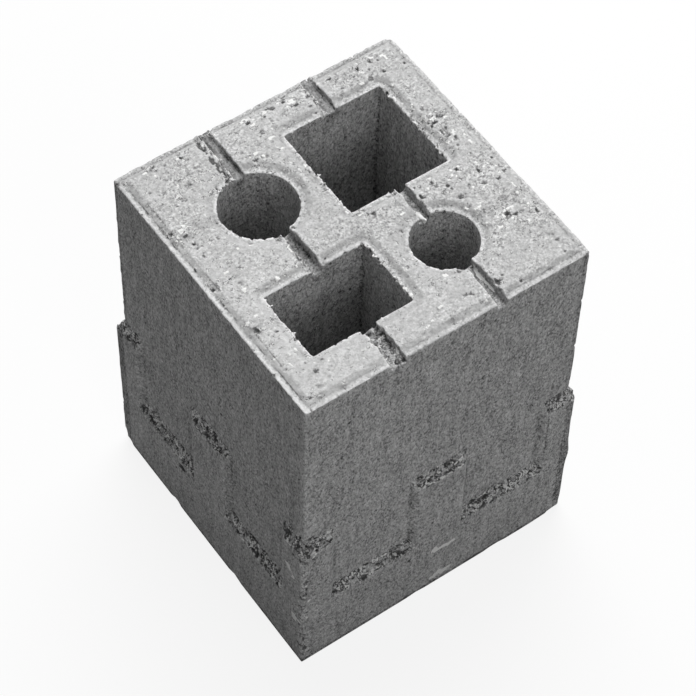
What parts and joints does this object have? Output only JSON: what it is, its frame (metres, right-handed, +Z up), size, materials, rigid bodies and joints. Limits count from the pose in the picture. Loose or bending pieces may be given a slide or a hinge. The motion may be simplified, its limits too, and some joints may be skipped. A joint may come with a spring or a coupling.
{
  "type": "concrete fence post base block",
  "caption": "Upright cast concrete block with square, oblong and round post sockets, a grooved top and a stepped foot with lugs; a footing that holds fence posts.",
  "frame": {"origin": "middle of the underside, on the floor", "axes": "+Z up along the sockets, +X across the two columns of sockets, +Y from front to back along the two grooves"},
  "size_m": [0.3, 0.3, 0.4],
  "materials": {
    "concrete": "matte, rough as cast"
  },
  "bodies": {
    "root": {"fence_base_block": "concrete"}
  },
  "joints": []
}
